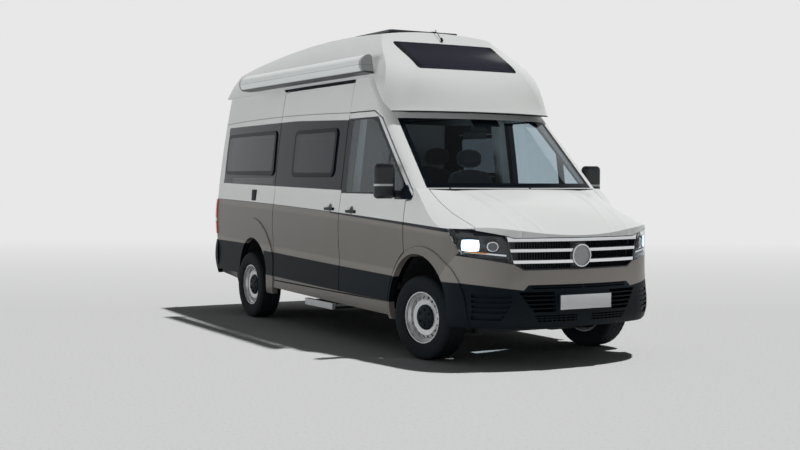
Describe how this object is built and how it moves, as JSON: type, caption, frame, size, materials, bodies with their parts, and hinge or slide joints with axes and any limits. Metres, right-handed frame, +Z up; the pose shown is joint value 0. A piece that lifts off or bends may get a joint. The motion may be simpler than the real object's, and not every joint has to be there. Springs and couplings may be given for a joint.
{
  "type": "camper van",
  "caption": "High-roof camper van with a sliding side door, twin rear doors, raised roof cap with skylight, side awning and fitted living space.",
  "frame": {"origin": "middle of the bounding box at floor level", "axes": "+Z up, -Y to the front of the van, +X to its left side"},
  "size_m": [2.431, 5.9859, 2.971],
  "materials": {
    "beige_paint": "metallic",
    "white_paint": "satin gloss",
    "pale_paint": "powder coat",
    "chassis_paint": "black chassis paint",
    "black_plastic": "grained",
    "cab_plastic": "soft grain",
    "white_plastic": "smooth",
    "tank_plastic": "blow moulded",
    "glass": "tinted",
    "lamp": "clear lens",
    "red_lamp": "lens",
    "tyre": "rubber",
    "rim_steel": "silver",
    "cast": "machined and cast",
    "engine": "cast",
    "step_metal": "ribbed",
    "upholstery": "woven",
    "furniture": "laminate"
  },
  "bodies": {
    "van_body": {"awning": "pale_paint", "bed_base": "furniture", "bench_seat": "upholstery", "cab_frame": "white_paint", "dashboard": "cab_plastic", "driver_seat": "upholstery", "engine_block": "engine", "floor_pan": "chassis_paint", "front_bumper": "beige_paint", "front_suspension": "chassis_paint", "front_wings": "beige_paint", "grille": "black_plastic", "headlamps": "lamp", "kitchen_and_bench_base": "furniture", "mattress": "upholstery", "passenger_seat": "upholstery", "rear_axle": "chassis_paint", "rear_bumper": "black_plastic", "rear_frame": "beige_paint", "roof_cap": "white_paint", "roof_hatch_frame": "black_plastic", "roof_window": "glass", "scuttle": "black_plastic", "seat_bases": "cab_plastic", "side_panel_left": "beige_paint", "side_panel_right": "beige_paint", "side_windows": "glass", "sills": "black_plastic", "sliding_door": "beige_paint", "step_housing": "black_plastic", "tail_lamps": "red_lamp", "underfloor_tanks": "tank_plastic", "wet_room": "white_plastic", "windscreen": "glass", "wipers": "black_plastic"},
    "steering": {"steering_wheel": "cab_plastic"},
    "knuckle_left_body": {"knuckle_left": "cast"},
    "knuckle_right_body": {"knuckle_right": "cast"},
    "wheel_front_left": {"tyre_front_left": "tyre", "rim_front_left": "rim_steel"},
    "wheel_front_right": {"tyre_front_right": "tyre", "rim_front_right": "rim_steel"},
    "wheel_rear_left": {"tyre_rear_left": "tyre", "rim_rear_left": "rim_steel"},
    "wheel_rear_right": {"tyre_rear_right": "tyre", "rim_rear_right": "rim_steel"},
    "bonnet_body": {"bonnet": "beige_paint"},
    "cab_door_left": {"front_door_left": "beige_paint", "door_glass_left": "glass", "mirror_left": "black_plastic"},
    "cab_door_right": {"front_door_right": "beige_paint", "door_glass_right": "glass", "mirror_right": "black_plastic"},
    "back_door_left": {"rear_door_left": "beige_paint", "rear_glass_left": "glass"},
    "back_door_right": {"rear_door_right": "beige_paint", "rear_glass_right": "glass"},
    "step_body": {"entry_step": "step_metal"},
    "hatch_body": {"roof_hatch_lid": "white_plastic"}
  },
  "joints": [
    {"name": "steering_wheel_turn", "type": "hinge", "parent": "van_body", "child": "steering", "pos_m": [0.43, -1.303, 1.29], "axis": [0, 0.848, 0.5299], "range_deg": [-690, 390]},
    {"name": "kingpin_left", "type": "hinge", "parent": "van_body", "child": "knuckle_left_body", "pos_m": [0.76, -1.99, 0.356], "axis": [0, 0, 1], "range_deg": [-46, 26]},
    {"name": "kingpin_right", "type": "hinge", "parent": "van_body", "child": "knuckle_right_body", "pos_m": [-0.76, -1.99, 0.356], "axis": [0, 0, 1], "range_deg": [-46, 26]},
    {"name": "wheel_front_left_spin", "type": "hinge", "parent": "knuckle_left_body", "child": "wheel_front_left", "pos_m": [0.8654, -1.9714, 0.356], "axis": [0.9848, 0.1736, 0], "continuous": true},
    {"name": "wheel_front_right_spin", "type": "hinge", "parent": "knuckle_right_body", "child": "wheel_front_right", "pos_m": [-0.8654, -2.0086, 0.356], "axis": [0.9848, 0.1736, 0], "continuous": true},
    {"name": "wheel_rear_left_spin", "type": "hinge", "parent": "van_body", "child": "wheel_rear_left", "pos_m": [0.872, 1.65, 0.356], "axis": [1, 0, 0], "continuous": true},
    {"name": "wheel_rear_right_spin", "type": "hinge", "parent": "van_body", "child": "wheel_rear_right", "pos_m": [-0.872, 1.65, 0.356], "axis": [1, 0, 0], "continuous": true},
    {"name": "bonnet_hinge", "type": "hinge", "parent": "van_body", "child": "bonnet_body", "pos_m": [0, -1.933, 1.415], "axis": [-1, 0, 0], "range_deg": [0, 50]},
    {"name": "cab_door_left_hinge", "type": "hinge", "parent": "van_body", "child": "cab_door_left", "pos_m": [0.957, -1.863, 1.38], "axis": [0.0523, 0, -0.9986], "range_deg": [0, 75]},
    {"name": "cab_door_right_hinge", "type": "hinge", "parent": "van_body", "child": "cab_door_right", "pos_m": [-0.957, -1.863, 1.38], "axis": [0.0523, 0, 0.9986], "range_deg": [0, 75]},
    {"name": "back_door_left_hinge", "type": "hinge", "parent": "van_body", "child": "back_door_left", "pos_m": [0.798, 2.969, 0.56], "axis": [0.0723, 0.0203, -0.9972], "range_deg": [0, 180]},
    {"name": "back_door_right_hinge", "type": "hinge", "parent": "van_body", "child": "back_door_right", "pos_m": [-0.798, 2.969, 0.56], "axis": [0.0723, -0.0203, 0.9972], "range_deg": [0, 180]},
    {"name": "entry_step_slide", "type": "slide", "parent": "van_body", "child": "step_body", "axis": [-1, 0, 0], "range_m": [0, 0.25]},
    {"name": "roof_hatch_hinge", "type": "hinge", "parent": "van_body", "child": "hatch_body", "pos_m": [0, 0.335, 2.958], "axis": [-1, 0, 0], "range_deg": [0, 40]}
  ],
  "couplings": [
    {"joint": "kingpin_left", "follows": "steering_wheel_turn", "ratio": 0.066667},
    {"joint": "kingpin_right", "follows": "steering_wheel_turn", "ratio": 0.066667}
  ]
}
